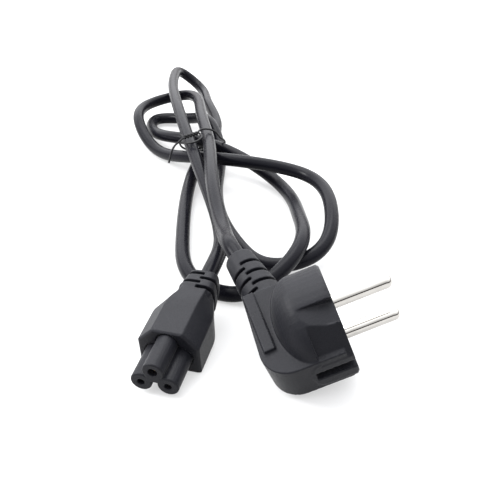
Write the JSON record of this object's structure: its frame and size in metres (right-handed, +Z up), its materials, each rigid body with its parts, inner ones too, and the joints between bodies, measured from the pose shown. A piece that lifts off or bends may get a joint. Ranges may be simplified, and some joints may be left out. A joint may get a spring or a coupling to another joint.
{
  "type": "mains cord set",
  "caption": "Mains cord set: a right-angle earthed plug and a cloverleaf appliance connector on one round cord, tied in a loose bundle.",
  "frame": {"origin": "centre of the rectangle that the plug and the connector span on the surface they lie on", "axes": "+X from the connector to the plug, +Y from the plug and the connector back over the bundled cord, +Z up from the surface"},
  "size_m": [0.115, 0.3041, 0.0379],
  "materials": {
    "black_plastic": "fine matte moulding texture",
    "nickel": "bright nickel plating",
    "brass": "plain drawn",
    "cord_jacket": "satin extruded",
    "tie_coat": "dull coated wire"
  },
  "bodies": {
    "root": {"plug_body": "black_plastic", "pin_line": "nickel", "pin_neutral": "nickel", "earth_clip_cord_side": "nickel", "earth_clip_far_side": "nickel", "connector_body": "black_plastic", "contact_carrier": "black_plastic", "contact_line": "brass", "contact_neutral": "brass", "contact_earth": "brass", "power_cord": "cord_jacket", "twist_tie": "tie_coat"}
  },
  "joints": []
}
